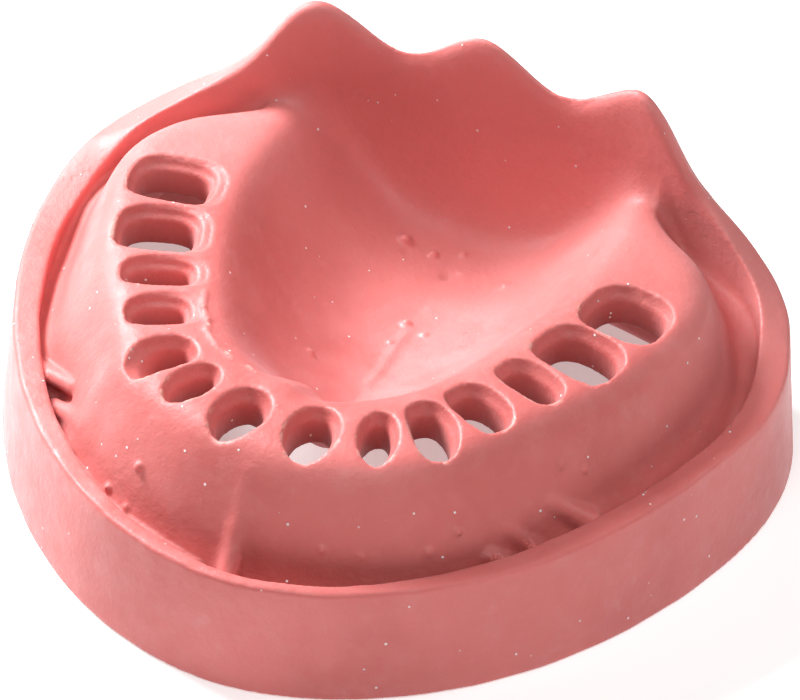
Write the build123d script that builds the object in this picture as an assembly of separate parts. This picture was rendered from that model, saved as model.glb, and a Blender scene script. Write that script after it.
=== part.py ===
from build123d import *
import math
import os

# Moulded soft gum of an upper jaw for a dental training model, teeth side up.
# Millimetres. X runs across the jaw, the lip side faces -Y, Z is up.
# The origin is the bottom centre of the bounding box.

# Outer wall, right half from the lip (front) round to the middle of the back
BASE_OUTLINE = [(0, -35.5), (17, -30.1), (30.5, -17.5), (39.3, 0), (41.5, 14.5),
                (37, 26.6), (24, 32.7), (12, 35.2), (0, 35.5)]
WALL_DRAFT = 0.092          # how far the wall leans in per millimetre of height
RIM_WIDTH = 2.8             # flat top of the wall
POCKET_DRAFT = 0.06
TALLEST = 40.0              # cutters reach past every top edge

# Top edge of the wall: along the sides (Y, Z) and across the peaked back (X, Z)
SIDE_PROFILE = [(-40, 12.9), (-20, 13.2), (0, 13.7), (12, 14.4), (19, 17.5), (26, 30)]
PEAK_HEIGHT = 34.0
BACK_PROFILE = [(0, PEAK_HEIGHT), (8.9, 29), (17.8, 33.9), (23.4, 27.6), (29, 22.3), (36, 17.4), (44, 13.4)]

# Tooth ridge: outer and inner edges of its crest, right half, front to back
RIDGE_OUTER = [(0, -25.6), (8.5, -24.3), (17, -19.5), (23, -11), (27.8, -2.5),
               (31.6, 6), (33.4, 15), (30, 22.6), (21.8, 28.4), (19.5, 38)]
RIDGE_INNER = [(0, -15.5), (6, -13.5), (11.5, -8.5), (15, -2), (17.5, 5),
               (19.3, 13), (19.5, 22), (18.5, 38)]
CREST_HEIGHT = 21.8
TROUGH_FLOOR = 7.6
TROUGH_RISE = 10.0          # the trough climbs this much round the back ends of the ridge
PALATE_FLOOR = 8.2
LIP_SLOPE = 8.0             # width of the outer face of the ridge at the front
TUBER_SLOPE = 4.5           # and at its back end, where it drops like a cliff
PALATE_SLOPE = 14.0
BACK_START = 5.0            # hollow curve from the palate up into the back wall
BACK_RISE = 18.0
BACK_SWEEP = 9.5
GRID = 1.5                  # spacing of the points that shape the gum surface

# Hollow underside
SKIN = 3.2
CAVITY_CEILING = 5.0
GROOVE_CEILING = 17.5

# Sockets, front to back: centre X, centre Y, width along the arch, length across it, turn
SOCKETS = [(3.8, -20.3, 5.6, 7.7, 7), (10.0, -18.4, 4.4, 7.1, 19), (14.6, -15.0, 5.0, 7.9, 38),
           (17.4, -9.7, 4.9, 7.3, 60), (20.2, -3.8, 4.6, 7.8, 68), (23.1, 2.1, 7.2, 9.3, 72),
           (25.0, 9.8, 7.6, 9.2, 81)]
MOUTH_FLARE = 0.6           # the mouth is this much wider on each side than the tube
MOUTH_DEPTH = 1.8

# Lip frenum, a thin upright fold on the middle of the outer face
FRENUM_WIDTH = 1.2


def outline(inset, height):
    """Closed wall outline moved inward by the inset, as a face at the given height."""
    half = [(x * (1 - inset / math.hypot(x, y)), y * (1 - inset / math.hypot(x, y)))
            for x, y in BASE_OUTLINE]
    loop = half + [(-x, y) for x, y in half[-2:0:-1]]
    edge = Edge.make_spline([Vector(x, y, height) for x, y in loop], periodic=True)
    return Face(Wire([edge]))


def wall_solid(inset, low, high, draft):
    """Drafted solid inside the wall outline between two heights."""
    return Solid.make_loft([outline(inset + draft * low, low).outer_wire(),
                            outline(inset + draft * high, high).outer_wire()])


def above_profile(points, plane):
    """Everything above a height profile, swept right across the part."""
    curve = Edge.make_spline([Vector(a, b) for a, b in points])
    (a0, b0), (a1, b1) = points[0], points[-1]
    frame = Edge.make_line((a1, b1), (a1, 60)), Edge.make_line((a1, 60), (a0, 60)), \
        Edge.make_line((a0, 60), (a0, b0))
    return extrude(plane * Face(Wire([curve, *frame])), 60, both=True)


def sample_curve(points, count=240):
    """Evenly spaced points with directions along a smooth half curve that starts across X."""
    edge = Edge.make_spline([Vector(x, y) for x, y in points], tangents=[(1, 0, 0), (0, 1, 0)])
    return [(i / count, edge @ (i / count), edge % (i / count)) for i in range(count + 1)]


def signed_distance(curve, x, y):
    """Distance outward from a half curve and how far along it the nearest point lies."""
    along, near, way = min(curve, key=lambda c: (c[1].X - x) ** 2 + (c[1].Y - y) ** 2)
    gap = math.hypot(near.X - x, near.Y - y)
    side = (x - near.X) * way.Y - (y - near.Y) * way.X
    return math.copysign(gap, side), along


def ease(t):
    t = min(max(t, 0.0), 1.0)
    return t * t * (3 - 2 * t)


def gum_height(x, y, outer, inner):
    """Height of the gum: trough floor, ridge, palate and the sweep up to the back wall."""
    out, along = signed_distance(outer, abs(x), y)
    into, _ = signed_distance(inner, abs(x), y)
    slope = LIP_SLOPE + (TUBER_SLOPE - LIP_SLOPE) * ease((along - 0.35) / 0.4)
    trough = TROUGH_FLOOR + TROUGH_RISE * ease((y - 4) / 24)
    height = CREST_HEIGHT - (CREST_HEIGHT - trough) * ease((out + 2.5) / slope) \
        - (CREST_HEIGHT - PALATE_FLOOR) * ease((1.5 - into) / PALATE_SLOPE)
    rise = min(max((y - 22.5) / BACK_SWEEP, 0.0), 0.98)
    sweep = BACK_START + BACK_RISE * (1 - math.sqrt(1 - rise * rise))
    return (height + sweep + math.hypot(height - sweep, 1.5)) / 2


def above_gum():
    """Everything above the gum surface."""
    outer, inner = sample_curve(RIDGE_OUTER), sample_curve(RIDGE_INNER)
    across, deep = round(43 / GRID), round(37 / GRID)
    columns = [GRID * i for i in range(-across, across + 1)]
    rows = [GRID * j for j in range(-deep, deep + 1)]
    heights = {(abs(x), y): gum_height(abs(x), y, outer, inner) for x in columns for y in rows}
    points = [[Vector(x, y, heights[abs(x), y]) for y in rows] for x in columns]
    surface = Face.make_surface_from_array_of_points(points, tol=0.3, min_deg=3)
    return Solid.extrude(surface, Vector(0, 0, 60))


def groove_face(spread, height):
    """Horseshoe band under the ridge, widened by the spread, as a face at a height."""
    outer = [(p.X + t.Y * (spread - 1.2), p.Y - t.X * (spread - 1.2))
             for _, p, t in sample_curve(RIDGE_OUTER, 12)[:9]]
    inner = [(p.X - t.Y * (spread + 2.4), p.Y + t.X * (spread + 2.4))
             for _, p, t in sample_curve(RIDGE_INNER, 9)[:7]]
    rims = []
    for half in (outer, inner):
        whole = [(-x, y) for x, y in half[:0:-1]] + half
        rims.append(Edge.make_spline([Vector(x, y, height) for x, y in whole]))
    ends = [Edge.make_line(rims[0] @ t, rims[1] @ t) for t in (0, 1)]
    return Face(Wire([rims[0], ends[1], rims[1], ends[0]]))


def underside():
    """Open hollow below the gum: a shallow pan with a deeper groove under the ridge."""
    pan = wall_solid(SKIN, -1, CAVITY_CEILING, WALL_DRAFT)
    groove = Solid.make_loft([groove_face(1.6, CAVITY_CEILING - 1).outer_wire(),
                              groove_face(0, GROOVE_CEILING).outer_wire()])
    return pan + groove


def socket(x, y, width, length, turn):
    """One tooth socket: a tube with a flared mouth, oval for front teeth and squarer for molars."""
    def section(grow, height):
        w, l = width + 2 * grow, length + 2 * grow
        plane = Plane((x, y, height)).rotated((0, 0, turn))
        if width > 7:
            return plane * RectangleRounded(w, l, w * 0.42)
        return plane * Ellipse(w / 2, l / 2)
    tube = extrude(section(-MOUTH_FLARE, GROOVE_CEILING - 6), 14)
    mouth = loft([section(-MOUTH_FLARE, CREST_HEIGHT - 2 * MOUTH_DEPTH),
                  section(0, CREST_HEIGHT - MOUTH_DEPTH / 2)])
    top = extrude(section(0, CREST_HEIGHT - MOUTH_DEPTH / 2), 5)
    return tube + mouth + top


def frenum():
    """Upright lip fold, as a thin fin leaning on the outer face of the ridge."""
    side = Polyline((-24.2, 20.6), (-32.2, 10.6), (-32.2, 7), (-24.2, 14), close=True)
    return extrude(Plane.YZ * make_face(side), FRENUM_WIDTH / 2, both=True)


def gum_moulding():
    """The whole moulding in one piece."""
    wall = wall_solid(0, 0, TALLEST - 4, WALL_DRAFT)
    wall -= above_profile(SIDE_PROFILE, Plane.YZ)
    mirrored = [(-x, z) for x, z in BACK_PROFILE[:0:-1]]
    wall -= above_profile(mirrored + BACK_PROFILE, Plane.XZ)
    wall -= wall_solid(RIM_WIDTH, -1, TALLEST, POCKET_DRAFT)
    gum = wall_solid(RIM_WIDTH - 1, 0, 30, POCKET_DRAFT) - above_gum()
    body = wall + gum + frenum() - underside()
    for x, y, width, length, turn in SOCKETS:
        for side in (1, -1):
            body -= socket(side * x, y, width, length, side * turn)
    return body


os.makedirs("parts", exist_ok=True)
export_step(gum_moulding(), "parts/gum_moulding.step")
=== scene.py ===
import math

import bpy
import numpy as np
import openvdb
from mathutils import Matrix, Vector


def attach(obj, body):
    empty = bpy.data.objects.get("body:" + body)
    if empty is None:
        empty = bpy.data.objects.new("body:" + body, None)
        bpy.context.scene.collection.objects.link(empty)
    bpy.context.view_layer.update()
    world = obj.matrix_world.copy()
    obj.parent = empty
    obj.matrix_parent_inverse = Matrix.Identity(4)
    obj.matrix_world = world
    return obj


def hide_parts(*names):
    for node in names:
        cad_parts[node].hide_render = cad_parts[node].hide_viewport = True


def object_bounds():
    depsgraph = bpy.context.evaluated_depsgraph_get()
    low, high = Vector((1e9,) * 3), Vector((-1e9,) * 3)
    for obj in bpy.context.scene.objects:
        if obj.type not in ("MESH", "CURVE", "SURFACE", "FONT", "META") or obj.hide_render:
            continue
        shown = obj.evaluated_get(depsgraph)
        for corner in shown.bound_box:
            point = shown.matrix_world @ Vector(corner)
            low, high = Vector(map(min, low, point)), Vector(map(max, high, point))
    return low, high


# The gum is one soft moulding. It is shaped here as a distance field on a grid, in millimetres in the
# row frame (X across the jaw, -Y towards the lips, Z up), and meshed as one closed skin.

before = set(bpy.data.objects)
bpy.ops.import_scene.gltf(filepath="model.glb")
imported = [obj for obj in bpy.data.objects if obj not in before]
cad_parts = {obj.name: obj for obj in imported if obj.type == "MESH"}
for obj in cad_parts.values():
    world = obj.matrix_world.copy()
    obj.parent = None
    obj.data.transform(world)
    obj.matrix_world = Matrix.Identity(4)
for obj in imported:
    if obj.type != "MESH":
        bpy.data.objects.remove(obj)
cad_low, cad_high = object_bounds()
TRIANGLES = 190000                         # the skin is thinned to this many
STEP = 0.26         # grid spacing

# Outer wall, right half from the lip round to the middle of the back
BASE_OUTLINE = [(0, -35.5), (17, -30.1), (30.5, -17.5), (39.3, 0), (41.5, 14.5),
                (37, 26.6), (24, 32.7), (12, 35.2), (0, 35.5)]
WALL_DRAFT = 0.092          # how far the wall leans in per millimetre of height

# Top edge of the wall: along the sides (Y, Z) and across the peaked back (X, Z)
SIDE_TOP = [(-40, 12.9), (-20, 13.2), (0, 13.7), (12, 14.4), (19, 17.5), (26, 30), (32, 42)]
BACK_TOP = [(0, 34.6), (8.9, 29.6), (17.8, 34.5), (23.4, 28.0), (29, 22.2), (36, 17.6), (40, 16.0),
            (44, 15.2)]

# Tooth ridge: outer and inner edges of its crest, right half, front to back
RIDGE_OUTER = [(0, -25.6), (8.5, -24.3), (17, -19.5), (23, -11), (27.8, -2.5),
               (31.0, 6), (31.9, 14), (28.3, 21.2), (22.4, 25.6), (20.5, 38)]
RIDGE_INNER = [(0, -15.5), (6, -13.5), (11.5, -8.5), (15, -2), (17.5, 5),
               (19.3, 13), (19.5, 22), (18.5, 38)]
CREST, TROUGH, PALATE = 21.8, 7.6, 8.2     # heights

# How the ridge falls off its crest: distance from the crest edge, share of the way down
LIP_FALL = [(-4, 0), (-2.5, 0.01), (-1, 0.06), (1, 0.24), (3, 0.52), (5, 0.8), (7, 0.96), (8.5, 1), (12, 1)]
PALATE_FALL = [(-3, 0), (-1.5, 0.01), (0.5, 0.06), (2.5, 0.2), (5.5, 0.48), (9, 0.74), (12, 0.89),
               (15, 0.97), (18, 1), (40, 1)]

SKIN, GROOVE_CEILING = 3.0, 17.5           # hollow underside
FLOOR_GLOW = 0.35

# Sockets, front to back: centre X, centre Y, width along the arch, length across it, turn, squareness
RIGHT, LEFT = 1, -1
SOCKETS = {RIGHT: [(3.45, -20.0, 5.4, 8.3, 7, 2.0), (9.65, -18.0, 4.1, 7.7, 17, 2.0),
                   (14.1, -14.5, 4.7, 8.5, 36, 2.1), (17.0, -9.4, 5.1, 7.7, 60, 2.2),
                   (20.0, -3.6, 4.6, 7.6, 68, 2.3), (22.8, 2.4, 7.2, 9.2, 72, 2.5),
                   (24.9, 10.1, 8.0, 9.0, 80, 2.4)],
           LEFT: [(4.15, -20.2, 5.5, 8.0, 8, 2.0), (10.3, -18.1, 4.3, 6.9, 22, 2.0),
                  (15.0, -15.5, 5.0, 7.5, 40, 2.1), (18.0, -9.2, 4.6, 6.8, 62, 2.3),
                  (20.5, -3.6, 4.4, 7.7, 68, 2.4), (23.4, 2.6, 7.0, 8.8, 72, 2.8),
                  (25.4, 10.5, 6.9, 9.0, 81, 2.8)]}
BEHIND_CANINES = -12        # sockets further back than this Y belong to the cheek teeth

# Width of the rim: percent of the way round from the front centre by the right side, millimetres
RIM_WIDTH = [(-6, 1.9), (0, 1.8), (6, 2.0), (13, 2.8), (20, 3.1), (26, 3.1), (33, 3.6), (40, 3.2),
             (50, 2.8), (56, 3.2), (61, 4.6), (66, 4.8), (71, 4.1), (76, 3.5), (82, 3.1), (88, 2.7),
             (94, 2.3), (98, 2.1), (100, 1.8), (104, 1.8)]

# Lip frenum and cheek folds as tapered bars: two end points, their radii (negative cuts), blend
FOLDS = [(((-0.7, -25.2, 19.6), (-0.6, -28.2, 14.5)), (0.35, 0.6), 1.0),
         (((-0.6, -28.2, 14.5), (-0.3, -31.6, 10.4)), (0.6, 1.2), 1.3),
         (((-27.4, -13.9, 10.8), (-24.6, -16.0, 12.8)), (-0.9, -0.6), 0.5),
         (((-22.8, -19.2, 12.2), (-20.8, -20.8, 13.6)), (-0.7, -0.5), 0.4),
         (((-30.4, -11.2, 11.2), (-24.6, -15.0, 13.6)), (1.0, 0.7), 0.6),
         (((-26.4, -15.8, 11.0), (-20.6, -19.8, 13.8)), (0.9, 0.8), 0.6),
         (((23.0, -16.8, 14.0), (26.4, -15.4, 10.4)), (0.6, 1.3), 0.7),
         (((25.6, -12.0, 14.6), (29.2, -9.8, 11.4)), (0.7, 1.4), 0.7),
         (((22.4, -19.4, 12.2), (23.8, -18.7, 11.6)), (1.0, 0.8), 0.5),
         (((-38.2, 15.6, 9.0), (-36.9, 18.4, 13.4)), (0.6, 0.4), 0.8),
         (((-2.2, -14.6, 19.6), (-1.2, -12.6, 18.6)), (1.9, 1.5), 2.5),
         (((-17.0, -16.4, 17.6), (-20.0, -19.3, 11.4)), (1.9, 1.7), 3.0)]

# Thin pale flash left along the palate edge of the crest, X and Y
FLASH_LINE = [(-14.9, -4.6), (-14.0, -7.1), (-12.8, -8.6), (-12.2, -10.2), (-10.4, -11.9), (-8.2, -13.0),
              (-6.3, -13.4), (-4.5, -14.0)]

# Small lumps (positive radius) and pits (negative radius) left by the casting: X, Y, radius
NODULES = [(-5.4, 25.4, 0.65), (-2.0, 25.1, 0.5), (0.9, 26.3, 0.4), (0.5, 22.7, -0.7), (1.2, 23.2, -0.55),
           (-4.6, 24.0, -0.5), (7.1, 22.5, 0.3), (-0.3, 13.8, 0.5), (2.1, 12.8, 0.35), (-0.6, 10.2, 0.3),
           (-6.2, 2.4, 0.35), (-22.6, -19.7, 0.35), (-15.7, -26.0, 0.4), (-13.0, -27.5, 0.35),
           (-12.6, -25.6, 0.45), (25.8, -9.6, 0.4), (27.6, -7.7, 0.35), (19.6, -20.9, 0.4),
           (17.6, -23.3, 0.45), (11.7, -26.7, 0.3), (8.1, -27.8, 0.35), (27.2, -14.6, 0.35)]


# ---------------------------------------------------------------- curves and fields

def smooth_curve(points, closed, count=500):
    """Points along a cubic spline through the given ones."""
    p = np.array(points, float)
    if closed:
        pad = 4
        p = np.concatenate([p[-pad:], p, p[:pad + 1]])
    t = np.concatenate([[0], np.cumsum(np.linalg.norm(np.diff(p, axis=0), axis=1))])
    n, h = len(t), np.diff(t)
    a, b = np.eye(n), np.zeros((n, p.shape[1]))
    for i in range(1, n - 1):
        a[i, i - 1:i + 2] = h[i - 1], 2 * (h[i - 1] + h[i]), h[i]
        b[i] = 6 * ((p[i + 1] - p[i]) / h[i] - (p[i] - p[i - 1]) / h[i - 1])
    m = np.linalg.solve(a, b)
    low, high = (t[pad], t[-pad - 1]) if closed else (t[0], t[-1])
    s = np.linspace(low, high, count)
    k = np.clip(np.searchsorted(t, s) - 1, 0, n - 2)
    u, hk = (s - t[k])[:, None], h[k][:, None]
    slope = (p[k + 1] - p[k]) / hk - hk * (2 * m[k] + m[k + 1]) / 6
    return p[k] + slope * u + m[k] * u ** 2 / 2 + (m[k + 1] - m[k]) * u ** 3 / (6 * hk)


def mirrored(points):
    return [(-a, b) for a, b in points[:0:-1]] + list(points)


def half_curve(points, count=500):
    """Right half of a mirrored curve, smooth where it crosses the middle."""
    return smooth_curve(mirrored(points), False, 2 * count)[count - 1:]


def curve_distance(curve, x, y):
    """Signed distance to a curve (positive on its right hand side) and how far along it lies."""
    a, d = curve[:-1], np.diff(curve, axis=0)
    squared = (d ** 2).sum(1)
    shape, x, y = x.shape, x.ravel(), y.ravel()
    best, side, along = np.zeros(x.shape), np.zeros(x.shape), np.zeros(x.shape)
    for i in range(0, len(x), 4096):
        px, py = x[i:i + 4096, None] - a[:, 0], y[i:i + 4096, None] - a[:, 1]
        t = np.clip((px * d[:, 0] + py * d[:, 1]) / squared, 0, 1)
        gap = (px - t * d[:, 0]) ** 2 + (py - t * d[:, 1]) ** 2
        k = gap.argmin(1)
        row = np.arange(len(k))
        best[i:i + 4096] = np.sqrt(gap[row, k])
        side[i:i + 4096] = px[row, k] * d[k, 1] - py[row, k] * d[k, 0]
        along[i:i + 4096] = (k + t[row, k]) / len(d)
    return (np.sign(side) * best).reshape(shape), along.reshape(shape)


def ease(t):
    t = np.clip(t, 0, 1)
    return t * t * (3 - 2 * t)


def profile(points, s):
    """Smooth profile through the given points."""
    curve = smooth_curve(points, False, 400)
    return np.interp(s, curve[:, 0], curve[:, 1])


def soft_min(a, b, k):
    """Smaller of the two, blended where they differ by less than k millimetres."""
    return np.minimum(a, b) - np.maximum(k - np.abs(a - b), 0) ** 2 / (4 * k)


def soft_max(a, b, k):
    return -soft_min(-a, -b, k)


def waves(x, y, size, seed):
    """Smooth uneven field between about -1 and 1, made of sine waves in random directions."""
    rng = np.random.default_rng(seed)
    total = np.zeros_like(x)
    for layer in range(3):
        for _ in range(4):
            angle, phase = rng.uniform(0, 2 * math.pi, 2)
            k = 2 * math.pi / (size / 1.7 ** layer) * rng.uniform(0.8, 1.25)
            total += np.sin(k * (x * math.cos(angle) + y * math.sin(angle)) + phase) / 1.7 ** layer
    return total / 5


def window(low, high, *axes):
    """Index arrays and coordinates of the grid cells between two corners."""
    picks = [np.flatnonzero((v > a) & (v < b)) for v, a, b in zip(axes, low, high)]
    grid = np.meshgrid(*(v[p] for v, p in zip(axes, picks)), indexing="ij")
    return np.ix_(*picks), grid


# ---------------------------------------------------------------- gum surface

def gum_height(x, y, wall, top):
    """Trough floor, ridge, palate and the sweep up to the back wall, as a height over X and Y."""
    outer, along = curve_distance(half_curve(RIDGE_OUTER), np.abs(x), y)
    inner, _ = curve_distance(half_curve(RIDGE_INNER), np.abs(x), y)
    squeeze = 1 + 1.1 * ease((along - 0.35) / 0.4)
    fall = profile(LIP_FALL, outer * np.where(outer > 0, squeeze, 1))
    dish = profile(PALATE_FALL, -inner)
    left = 3.2 * ease((y + 16) / 8) + 3 * ease((y - 4) / 14) + 2.5 * ease((y - 18) / 8)
    left = ease((-16 - x) / 8) * left
    trough = TROUGH + soft_max(3.5 * ease((y - 6) / 10) + 4 * ease((y - 16) / 12), left, 1.5)
    height = CREST - (CREST - trough) * fall - (CREST - PALATE) * dish
    height += 0.16 * waves(x, y, 15, 3) * ease(fall * 3) + 0.1 * waves(x, y, 7, 5) * ease(dish * 2)
    raphe = ease((y - 0.5) / 3) * ease((15 - y) / 3)
    height += 0.3 * raphe * np.exp(-((x - 0.2 + 0.25 * waves(x, y, 6, 8)) / 0.6) ** 2)
    rise = np.clip((14 + wall) / 10.5, 0, 0.98)
    sweep = np.minimum(20, top - 5) * (1 - np.sqrt(1 - rise ** 2))
    sweep = 3 + sweep * ease((y - 10) / 12) * ease((35 - np.abs(x)) / 10)
    return (height + sweep + np.hypot(height - sweep, 4)) / 2


def front_shelf(inside, along):
    """Height of the ledge that fills the trough left of the frenum, falling away from the rim."""
    full = ease((0.994 - along) / 0.012) * ease((along - 0.83) / 0.07)
    return 5 + full * (6.6 - 2.4 * ease((inside - 1.0) / 2) - 0.15 * np.maximum(inside, 0))


def axis_points(low, high):
    """Grid lines from a little below one place to a little above the other."""
    return np.arange(math.floor(low / STEP) - 4, math.ceil(high / STEP) + 5) * STEP


def socket_shape(x, y, depth, socket, side):
    """Signed distance to one socket, negative in its bore: a tube, flat on its front side, whose
    mouth flares open in a ragged bevel."""
    cx, cy, width, length, turn, power = socket
    a = math.radians(turn) * side
    u = (x - side * cx) * math.cos(a) + (y - cy) * math.sin(a)
    v = -(x - side * cx) * math.sin(a) + (y - cy) * math.cos(a)
    left_cheek = side == LEFT and cy > BEHIND_CANINES
    ledge = 0.45 if left_cheek else 0.15
    closed = (1 - ledge) * ease(depth / 1.8) + ledge * ease((depth - 0.9) / 0.5)
    ragged = 0.06 * waves(x + cx, y, 2.2, 11) * ease((1.2 - depth) / 1.2)
    back = u * side > 0
    power = np.where(back, power, power + (1.2 if cy > -17 else 0))

    def tube(grow, shift):
        ru = width / 2 - np.where(back, 0.8, 0.35 if side == RIGHT else 0.7) * closed + grow
        rv = length / 2 - 0.75 * closed + grow
        radius = (np.abs(u / ru) ** power + np.abs((v - shift) / rv) ** power) ** (1 / power)
        return (radius - 1) * np.sqrt(ru * rv)

    bore = tube(ragged, 0)
    if left_cheek:                  # a thin step round the palate end
        return bore, soft_min(bore, np.maximum(tube(0.2, 0.8), depth - 0.25), 0.5)
    return bore, bore


def cut_socket(field, surface, xs, ys, zs, socket, side):
    """Cuts one socket out of the field, measured down from the gum surface."""
    cx, cy = socket[:2]
    cell, (x, y, z) = window((side * cx - 8, cy - 8, 10), (side * cx + 8, cy + 8, 60), xs, ys, zs)
    depth = surface[cell[0][:, :, 0], cell[1][:, :, 0]][:, :, None] - z
    field[cell] = soft_max(field[cell], -socket_shape(x, y, depth, socket, side)[1], 0.25)


def add_bar(field, xs, ys, zs, ends, radii, blend):
    """Adds a tapered round bar between two points, or cuts it out where the radii are negative."""
    ends = np.array(ends, float)
    reach = abs(np.array(radii)).max() + blend + 1
    cell, grid = window(ends.min(0) - reach, ends.max(0) + reach, xs, ys, zs)
    span = ends[1] - ends[0]
    t = sum((g - e) * s for g, e, s in zip(grid, ends[0], span)) / max((span ** 2).sum(), 1e-6)
    t = np.clip(t, 0, 1)
    gap = np.sqrt(sum((g - e - t * s) ** 2 for g, e, s in zip(grid, ends[0], span)))
    gap = gap - (abs(radii[0]) * (1 - t) + abs(radii[1]) * t)
    if radii[0] < 0:
        field[cell] = soft_max(field[cell], -gap, blend)
    else:
        field[cell] = soft_min(field[cell], gap, blend)


def gum_field(xs, ys, zs):
    """Signed distance, negative inside the silicone, on the grid xs by ys by zs."""
    x, y = np.meshgrid(xs, ys, indexing="ij")
    loop = BASE_OUTLINE + [(-a, b) for a, b in BASE_OUTLINE[-2:0:-1]]
    wall, around = curve_distance(smooth_curve(loop, True, 900), x, y)
    wall += 0.06 * waves(x, y, 9, 21)
    top = soft_min(profile(SIDE_TOP, y), profile(mirrored(BACK_TOP), x), 1.6)
    top += 0.1 * waves(x, y, 12, 4)
    rim = profile(RIM_WIDTH, 100 * around)
    back = ease((y - 20) / 8) * ease((32 - np.abs(x)) / 8)
    thick = 0.45 + 2.35 * back
    surface = gum_height(x, y, wall, top)
    surface = soft_max(surface, front_shelf(-(wall + rim + 0.75), around), 0.8)
    gx, gy = np.gradient(surface, STEP)
    steep = np.sqrt(1 + gx ** 2 + gy ** 2)
    field = np.empty((len(xs), len(ys), len(zs)), np.float32)
    for k, z in enumerate(zs):
        flange = 0.5 * ease((z - 9) / 5) * ease((x - 30) / 8) * ease((y - 4) / 8) * ease((22 - y) / 8)
        outside = wall + WALL_DRAFT * z - flange
        ring = soft_max(outside, (z - top) * 0.95, thick)
        ring = soft_max(ring, -(wall + rim + 0.06 * z), 0.3 + 1.9 * back)
        mass = np.maximum((z - surface) / steep, wall + 1.6 + 0.06 * z)
        body = soft_min(ring, mass, 0.6 + 3.0 * ease((y - 23) / 8))
        body = np.maximum(body, outside)
        hollow = soft_max(body + SKIN - 1.8 * ease((3.5 - z) / 3.5), z - GROOVE_CEILING, 2.0)
        body = np.maximum(soft_max(body, 0.9 * (-z) + 0.25 * outside, 0.5), 0.04 - z)
        field[:, :, k] = np.maximum(body, -hollow)
    for side, sockets in SOCKETS.items():
        for socket in sockets:
            cut_socket(field, surface, xs, ys, zs, socket, side)
    for ends, radii, blend in FOLDS:
        add_bar(field, xs, ys, zs, ends, radii, blend)
    for px, py, radius in NODULES:
        z = surface[np.abs(xs - px).argmin(), np.abs(ys - py).argmin()]
        centre = (px, py, z + (0.05 if radius > 0 else 0.3))
        add_bar(field, xs, ys, zs, (centre, centre), (radius, radius), 0.35)
    for ends in zip(FLASH_LINE[:-1], FLASH_LINE[1:]):
        ends = [(px, py, surface[np.abs(xs - px).argmin(), np.abs(ys - py).argmin()]) for px, py in ends]
        add_bar(field, xs, ys, zs, ends, (0.25, 0.25), 0.3)
    return field, surface, wall


def paint(mesh, surface, wall, xs, ys):
    """Stores two shares on the points: "deep", how far down a socket or low in the front trough, which the
    material darkens as painted shade, and "edge", how near a socket's lip or the line of casting fins on the
    palate edge, which it pales: casting fins, and at the socket lips partly a painted glow through the thin
    edge."""
    points = np.empty(len(mesh.vertices) * 3)
    mesh.vertices.foreach_get("co", points)
    x, y, z = points.reshape(-1, 3).T * 1000
    depth = surface[np.searchsorted(xs, x) - 1, np.searchsorted(ys, y) - 1] - z
    painted_shade, edge = np.zeros(len(x)), np.zeros(len(x))
    for side, sockets in SOCKETS.items():
        for socket in sockets:
            near = np.flatnonzero((np.hypot(x - side * socket[0], y - socket[1]) < 7) & (z > 11))
            bore = socket_shape(x[near], y[near], depth[near], socket, side)[0]
            # Painted shade: darker further down each socket's bore, where little light reaches.
            painted_shade[near] = np.maximum(painted_shade[near], ease((depth[near] - 0.5) / 4.5) * ease((0.5 - bore) / 0.3))
            # Pale lip round each socket's mouth, stronger on its front side: thin torn casting fins, and
            # partly a painted glow of light through the thin edge.
            lip = np.exp(-((bore - 0.05) / 0.22) ** 2 - (np.maximum(depth[near], 0) / 0.35) ** 2)
            edge[near] = np.maximum(edge[near], lip * np.where(y[near] < socket[1], 1, 0.2))
    line = np.array(FLASH_LINE)
    for a, b in zip(line[:-1], line[1:]):
        t = np.clip(((x - a[0]) * (b[0] - a[0]) + (y - a[1]) * (b[1] - a[1])) / ((b - a) ** 2).sum(), 0, 1)
        gap = np.hypot(x - a[0] - t * (b[0] - a[0]), y - a[1] - t * (b[1] - a[1]))
        edge = np.maximum(edge, np.exp(-(gap / 0.22) ** 2) * (z > 17))
    inside = -wall[np.searchsorted(xs, x) - 1, np.searchsorted(ys, y) - 1]
    # Painted shade low in the front trough, inside the lip rim, added to the same share as the sockets.
    low = ease((12.8 + 2.4 * ease((x + 2) / 3) - z) / 3.5) * ease((-8 - y) / 8) * ease(inside - 2.5)
    painted_shade = np.maximum(painted_shade, 0.75 * low * (np.abs(depth) < 1.2))
    for name, values in (("painted_shade", painted_shade), ("edge", edge)):
        mesh.attributes.new(name, "FLOAT", "POINT").data.foreach_set("value", values.astype(np.float32))


def gum_mesh():
    """Mesh of the zero level of the field, in metres."""
    low, high = np.array(cad_low) * 1000, np.array(cad_high) * 1000
    xs, ys, zs = (axis_points(a, b) for a, b in zip(low, high))
    field, surface, wall = gum_field(xs, ys, zs)
    grid = openvdb.FloatGrid(3 * STEP)
    grid.copyFromArray(np.clip(field, -3 * STEP, 3 * STEP).astype(np.float32))
    points, quads = grid.convertToQuads(0)
    points = (points * STEP + np.array([xs[0], ys[0], zs[0]])) / 1000
    fine = bpy.data.meshes.new("fine")
    fine.from_pydata(points.tolist(), [], quads[:, ::-1].tolist())
    gum = bpy.data.objects.new("gum", fine)
    bpy.context.scene.collection.objects.link(gum)
    if 2 * len(quads) > TRIANGLES:
        thin = gum.modifiers.new("thin", "DECIMATE")
        thin.ratio = TRIANGLES / (2 * len(quads))
    mesh = bpy.data.meshes.new_from_object(gum.evaluated_get(bpy.context.evaluated_depsgraph_get()))
    gum.modifiers.clear()
    gum.data = mesh
    mesh.polygons.foreach_set("use_smooth", [True] * len(mesh.polygons))
    paint(mesh, surface, wall, xs, ys)
    return gum


# ---------------------------------------------------------------- materials

def new_material(name):
    material = bpy.data.materials.new(name)
    material.use_nodes = True
    nodes = material.node_tree.nodes
    return material, material.node_tree, nodes["Principled BSDF"]


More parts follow.
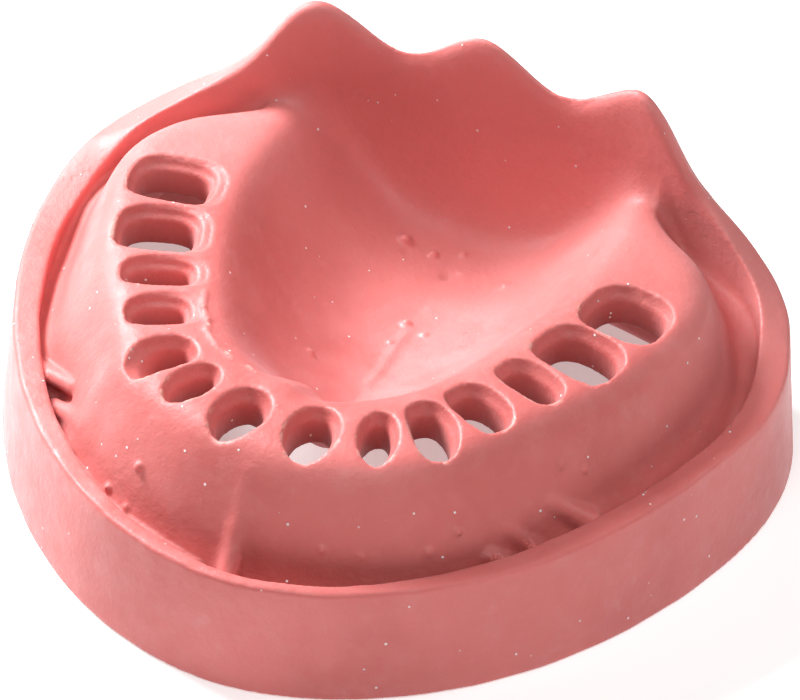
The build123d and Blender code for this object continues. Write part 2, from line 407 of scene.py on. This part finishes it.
def node(tree, kind, links=(), **values):
    """Adds a node, sets its properties and inputs by name, and returns it."""
    n = tree.nodes.new(kind)
    for key, value in values.items():
        if key in n.inputs:
            n.inputs[key].default_value = value
        else:
            setattr(n, key, value)
    for source, target in links:
        tree.links.new(source, n.inputs[target])
    return n


def silicone():
    """Pink moulding silicone: mottled, dusty in places, with pale specks and soft casting marks, painted
    shade down the sockets and in the front trough, and painted light on the palate and towards the back.
    """
    material, tree, shader = new_material("pink_silicone")
    place = node(tree, "ShaderNodeTexCoord").outputs["Object"]
    shape = node(tree, "ShaderNodeNewGeometry")

    def noise(scale, detail=3.0, rough=0.55, stretch=None):
        spot = place
        if stretch:
            spot = node(tree, "ShaderNodeMapping", [(place, "Vector")], Scale=stretch).outputs["Vector"]
        return node(tree, "ShaderNodeTexNoise", [(spot, "Vector")], Scale=scale, Detail=detail,
                    Roughness=rough).outputs["Fac"]

    def ramp(source, low, high, start=0.0, end=1.0):
        n = node(tree, "ShaderNodeMapRange", [(source, "Value")], interpolation_type="SMOOTHSTEP")
        for name, value in zip(("From Min", "From Max", "To Min", "To Max"), (low, high, start, end)):
            n.inputs[name].default_value = value
        return n.outputs["Result"]

    def times(a, b, operation="MULTIPLY"):
        n = node(tree, "ShaderNodeMath", operation=operation)
        for socket, value in zip(n.inputs, (a, b)):
            if isinstance(value, float):
                socket.default_value = value
            else:
                tree.links.new(value, socket)
        return n.outputs["Value"]

    def mix(fac, a, b, blend="MIX"):
        n = node(tree, "ShaderNodeMix", data_type="RGBA", blend_type=blend)
        for socket, value in ((n.inputs[0], fac), (n.inputs[6], a), (n.inputs[7], b)):
            if isinstance(value, (float, tuple)):
                socket.default_value = value
            else:
                tree.links.new(value, socket)
        return n.outputs[2]

    def specks(scale, size, share):
        """Scattered dots: the middles of some of the cells of a Voronoi pattern."""
        cells = node(tree, "ShaderNodeTexVoronoi", [(place, "Vector")], Scale=scale)
        chosen = node(tree, "ShaderNodeSeparateColor", [(cells.outputs["Color"], "Color")])
        dot = ramp(cells.outputs["Distance"], size, size * 0.5)
        return times(dot, ramp(chosen.outputs["Red"], 1 - share, 1 - share + 0.02))

    painted_shade = node(tree, "ShaderNodeAttribute", attribute_name="painted_shade").outputs["Fac"]
    edge = node(tree, "ShaderNodeAttribute", attribute_name="edge").outputs["Fac"]
    spot = node(tree, "ShaderNodeSeparateXYZ", [(place, "Vector")])
    normal = node(tree, "ShaderNodeSeparateXYZ", [(shape.outputs["Normal"], "Vector")])
    upright = ramp(times(normal.outputs["Z"], 0.0, "ABSOLUTE"), 0.5, 0.2)

    colour = mix(ramp(noise(55.0), 0.35, 0.65), (0.56, 0.122, 0.112, 1), (0.64, 0.152, 0.141, 1))
    colour = mix(times(ramp(noise(420.0, 4.0), 0.45, 0.7), 0.25), colour, (0.64, 0.20, 0.19, 1))
    # Painted light: paler towards the back, from Y 4 to 22 mm.
    colour = mix(ramp(spot.outputs["Y"], 0.004, 0.022, 0.0, 0.6), colour, (0.60, 0.185, 0.175, 1))
    # Painted light: a paler, patchy pool round the middle of the palate; the same patch is made glossier
    # further down.
    palate_light_patch = node(tree, "ShaderNodeVectorMath", [(place, 0)], operation="DISTANCE")
    palate_light_patch.inputs[1].default_value = (0.006, 0.006, 0.009)
    palate_light_patch = ramp(palate_light_patch.outputs["Value"], 0.019, 0.006)
    colour = mix(times(palate_light_patch, ramp(noise(120.0, 4.0), 0.3, 0.6, 0.25, 0.75)), colour, (0.66, 0.24, 0.235, 1))
    dust = times(ramp(noise(190.0, 6.0, 0.7), 0.58, 0.75), 0.22)
    colour = mix(dust, colour, (0.70, 0.32, 0.31, 1))
    # Painted shade: dark red down the sockets and low in the front trough.
    colour = mix(times(painted_shade, 0.9), colour, (0.30, 0.036, 0.028, 1))
    # Pale ragged bits on the socket lips and the palate-edge line: casting fins, and at the socket lips
    # partly a painted glow of light.
    flash_and_lip_glow = times(edge, ramp(noise(600.0, 2.0), 0.5, 0.62, 0.05, 0.75))
    colour = mix(flash_and_lip_glow, colour, (0.80, 0.42, 0.36, 1))
    pale = times(specks(430.0, 0.085, 0.2), specks(900.0, 0.16, 0.08), "MAXIMUM")
    colour = mix(pale, colour, (0.95, 0.78, 0.76, 1))
    colour = mix(specks(210.0, 0.045, 0.12), colour, (0.2, 0.04, 0.045, 1))
    tree.links.new(colour, shader.inputs["Base Color"])

    wet = times(palate_light_patch, ramp(noise(110.0, 3.0), 0.5, 0.6, 0.0, 0.2))
    rough = times(ramp(noise(260.0, 5.0, 0.65), 0.3, 0.7, 0.44, 0.6), wet, "SUBTRACT")
    tree.links.new(rough, shader.inputs["Roughness"])
    shader.inputs["Sheen Weight"].default_value = 0.12
    shader.inputs["Sheen Tint"].default_value = (1.0, 0.85, 0.9, 1)
    shader.inputs["Subsurface Weight"].default_value = 0.2
    shader.inputs["Subsurface Radius"].default_value = (1.0, 0.3, 0.2)
    shader.inputs["Subsurface Scale"].default_value = 0.0012

    streak = times(noise(1.0, 4.0, 0.6, (420.0, 420.0, 26.0)), upright)
    relief = times(times(noise(170.0, 4.0, 0.5), 0.6), times(noise(1100.0, 4.0, 0.7), 0.35), "ADD")
    relief = times(relief, times(streak, 0.16), "ADD")
    relief = times(relief, times(pale, 0.5), "ADD")
    relief = times(relief, times(flash_and_lip_glow, 0.4), "ADD")
    bump = node(tree, "ShaderNodeBump", [(relief, "Height")], Strength=0.8, Distance=0.00035)
    tree.links.new(bump.outputs["Normal"], shader.inputs["Normal"])
    return material


def floor_material():
    """Plain pale table top with a faint even glow."""
    material, _, shader = new_material("pale_floor")
    shader.inputs["Base Color"].default_value = (0.85, 0.85, 0.85, 1)
    shader.inputs["Roughness"].default_value = 0.8
    shader.inputs["Emission Color"].default_value = (1, 1, 1, 1)
    shader.inputs["Emission Strength"].default_value = FLOOR_GLOW
    return material


# ---------------------------------------------------------------- set, light and camera

def floor():
    bpy.ops.mesh.primitive_plane_add(size=6, location=(0, 0, cad_low[2]))
    plane = bpy.context.object
    plane.name = "floor"
    plane.data.materials.append(floor_material())
    return plane


def area_light(name, azimuth, elevation, distance, size, power, color=(1, 1, 1)):
    """Soft square light aimed at the gum. Azimuth 0 is in front (-Y) and 90 on its right (+X)."""
    light = bpy.data.lights.new(name, "AREA")
    light.energy, light.size, light.color = power, size, color
    obj = bpy.data.objects.new(name, light)
    a, e = math.radians(azimuth), math.radians(elevation)
    place = Vector((math.sin(a) * math.cos(e), -math.cos(a) * math.cos(e), math.sin(e))) * distance
    obj.location = place + Vector((0, 0, 0.015))
    obj.rotation_euler = place.to_track_quat("Z", "Y").to_euler()
    bpy.context.scene.collection.objects.link(obj)


def camera(azimuth, elevation, roll, distance, lens, aim):
    data = bpy.data.cameras.new("camera")
    data.lens, data.sensor_width, data.clip_start = lens, 36, 0.01
    obj = bpy.data.objects.new("camera", data)
    a, e, r = (math.radians(v) for v in (azimuth, elevation, roll))
    back = Vector((math.sin(a) * math.cos(e), -math.cos(a) * math.cos(e), math.sin(e)))
    right = Vector((math.cos(a), math.sin(a), 0))
    up = back.cross(right)
    across = right * math.cos(r) + up * math.sin(r)
    upward = up * math.cos(r) - right * math.sin(r)
    turn = Matrix((across, upward, back)).transposed().to_4x4()
    obj.matrix_world = Matrix.Translation(Vector(aim) + back * distance) @ turn
    bpy.context.scene.collection.objects.link(obj)
    bpy.context.scene.camera = obj


gum = gum_mesh()
gum.data.materials.append(silicone())
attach(gum, "root")
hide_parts("gum_moulding")
floor()

world = bpy.data.worlds.new("studio")
world.use_nodes = True
world.node_tree.nodes["Background"].inputs["Color"].default_value = (1, 1, 1, 1)
world.node_tree.nodes["Background"].inputs["Strength"].default_value = 0.04
bpy.context.scene.world = world
bpy.context.scene.view_settings.view_transform = "Standard"

area_light("key", -108, 38, 0.21, 0.08, 1.12, (0.95, 0.98, 1))
area_light("right", 120, 40, 0.3, 0.15, 0.25)
area_light("front", 20, 60, 0.6, 0.4, 2.1)

middle = [(a + b) / 2 for a, b in zip(cad_low, cad_high)]
camera(21.43, 39.9, 2.36, 0.6238, 274.2, (middle[0] + 0.00124, middle[1] + 0.00835, 0.01))
